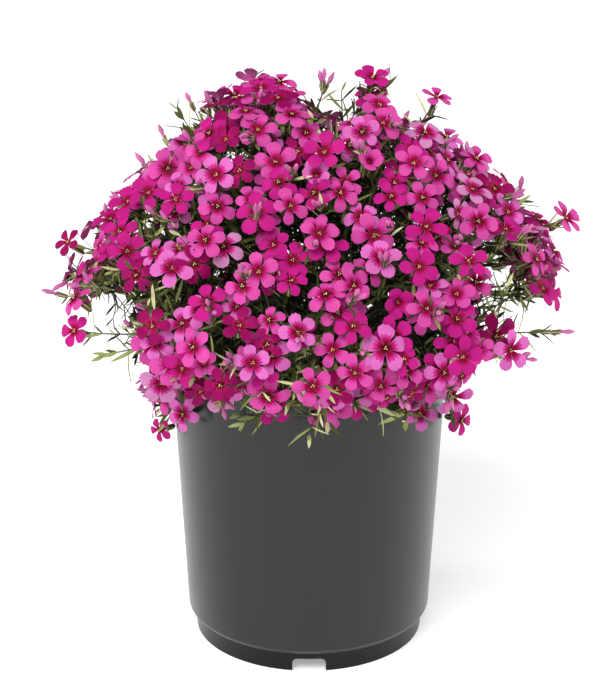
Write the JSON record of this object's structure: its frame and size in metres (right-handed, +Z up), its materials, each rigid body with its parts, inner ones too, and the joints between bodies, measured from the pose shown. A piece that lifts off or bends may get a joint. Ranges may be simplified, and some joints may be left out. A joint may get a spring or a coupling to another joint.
{
  "type": "potted creeping phlox",
  "caption": "Low mounded creeping phlox in full pink flower, spilling over the rim of a tapered charcoal nursery pot with a stepped foot.",
  "frame": {"origin": "centre of the pot's flat underside", "axes": "+Z up, -Y towards the viewer, +X to the viewer's right"},
  "size_m": [0.3118, 0.3, 0.3484],
  "materials": {
    "pot": "satin moulded charcoal plastic",
    "growing_mix": "damp composted bark",
    "wood": "thin papery bark",
    "blossom": "soft matt petals and leaves"
  },
  "bodies": {
    "root": {"pot": "pot", "growing_mix": "growing_mix", "stock": "wood", "bough_top": "wood", "bough_upper_1": "wood", "bough_upper_2": "wood", "bough_upper_3": "wood", "bough_upper_4": "wood", "bough_shoulder_1": "wood", "bough_shoulder_2": "wood", "bough_shoulder_3": "wood", "bough_shoulder_4": "wood", "bough_shoulder_5": "wood", "bough_shoulder_6": "wood", "bough_brim_1": "wood", "bough_brim_2": "wood", "bough_brim_3": "wood", "bough_brim_4": "wood", "bough_brim_5": "wood", "bough_brim_6": "wood", "bough_brim_7": "wood", "bough_skirt_1": "wood", "bough_skirt_2": "wood", "bough_skirt_3": "wood", "bough_skirt_4": "wood", "bough_skirt_5": "wood", "bough_skirt_6": "wood", "blossom_top": "blossom", "blossom_upper_1": "blossom", "blossom_upper_2": "blossom", "blossom_upper_3": "blossom", "blossom_upper_4": "blossom", "blossom_shoulder_1": "blossom", "blossom_shoulder_2": "blossom", "blossom_shoulder_3": "blossom", "blossom_shoulder_4": "blossom", "blossom_shoulder_5": "blossom", "blossom_shoulder_6": "blossom", "blossom_brim_1": "blossom", "blossom_brim_2": "blossom", "blossom_brim_3": "blossom", "blossom_brim_4": "blossom", "blossom_brim_5": "blossom", "blossom_brim_6": "blossom", "blossom_brim_7": "blossom", "blossom_skirt_1": "blossom", "blossom_skirt_2": "blossom", "blossom_skirt_3": "blossom", "blossom_skirt_4": "blossom", "blossom_skirt_5": "blossom", "blossom_skirt_6": "blossom"}
  },
  "joints": []
}
